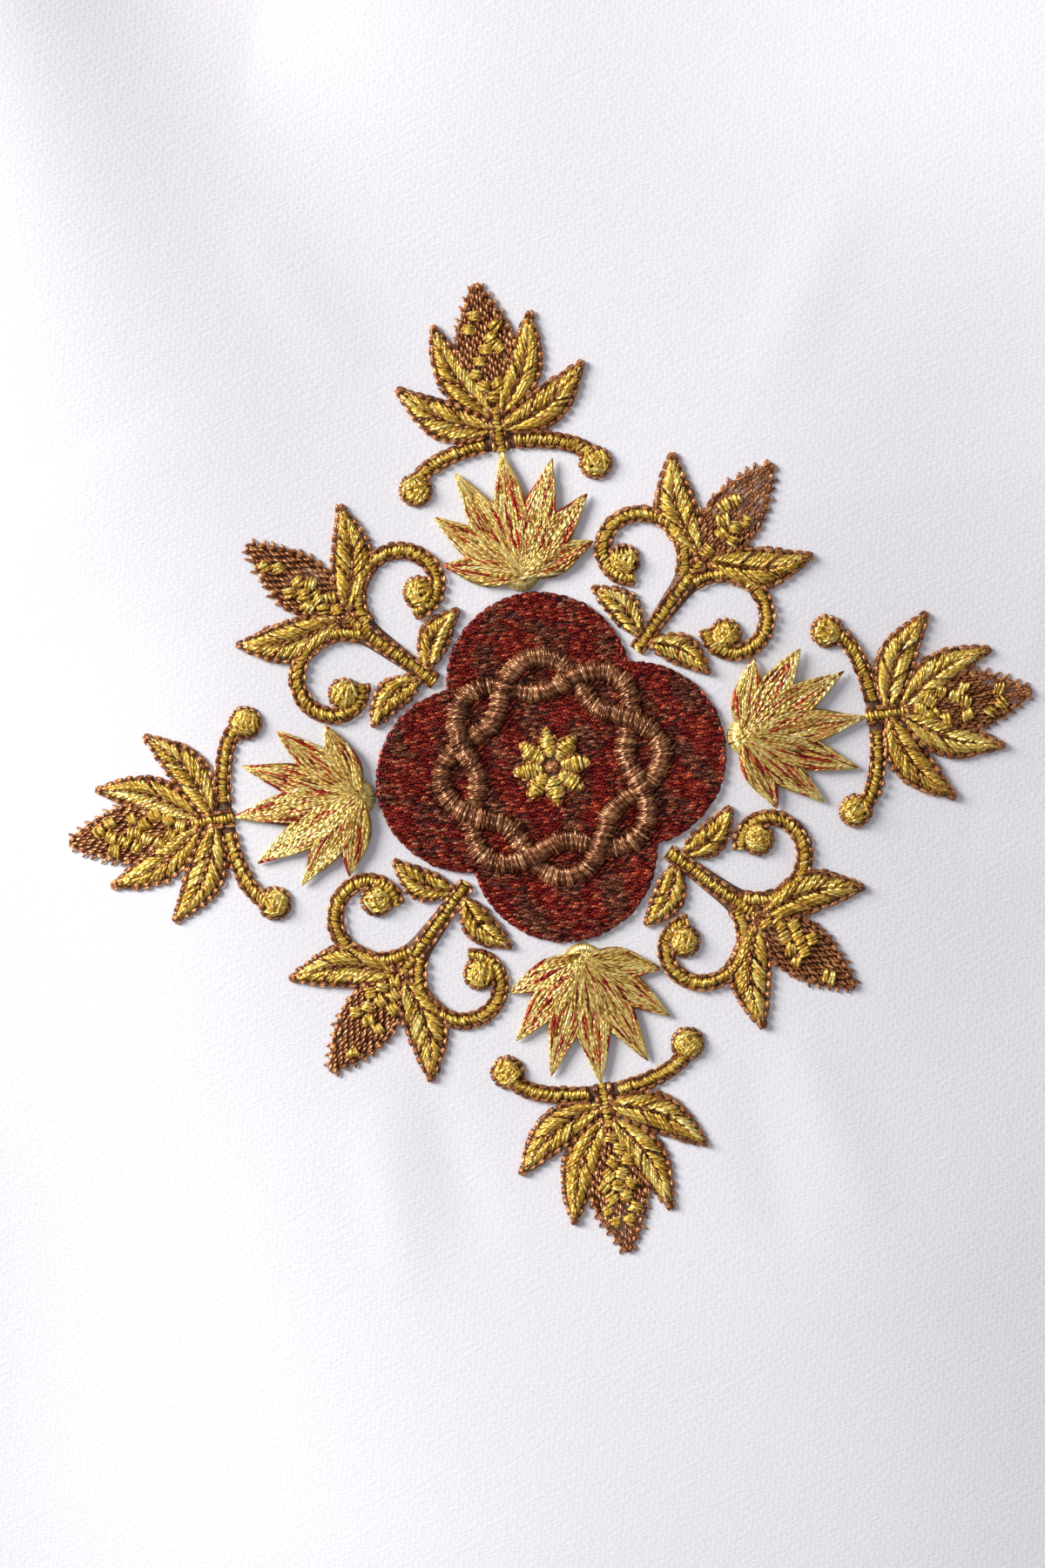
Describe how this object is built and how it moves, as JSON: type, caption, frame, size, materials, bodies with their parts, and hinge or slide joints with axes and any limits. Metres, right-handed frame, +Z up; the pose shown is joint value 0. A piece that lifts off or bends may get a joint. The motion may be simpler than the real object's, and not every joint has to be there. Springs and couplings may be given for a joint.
{
  "type": "ciborium veil",
  "caption": "White satin veil panel with a plain hem and a raised embroidered ornament in red, copper and gold thread, lying in soft folds.",
  "frame": {"origin": "centre of the bounding box at the underside, on the surface that the cloth lies on", "axes": "+Z up out of the cloth's right side, +Y along the long side towards the top of the ornament"},
  "size_m": [0.22, 0.3, 0.0102],
  "materials": {
    "satin": "satin",
    "red_thread": "satin",
    "copper_thread": "satin",
    "gold_thread": "satin",
    "pale_gold_thread": "satin"
  },
  "bodies": {
    "root": {"satin_ground": "satin", "red_field": "red_thread", "braid_ring": "copper_thread", "rosette": "gold_thread", "palmette_1": "pale_gold_thread", "palmette_2": "pale_gold_thread", "palmette_3": "pale_gold_thread", "palmette_4": "pale_gold_thread", "bud_spray_1": "gold_thread", "bud_spray_2": "gold_thread", "bud_spray_3": "gold_thread", "bud_spray_4": "gold_thread", "scroll_spray_1": "gold_thread", "scroll_spray_2": "gold_thread", "scroll_spray_3": "gold_thread", "scroll_spray_4": "gold_thread"}
  },
  "joints": []
}
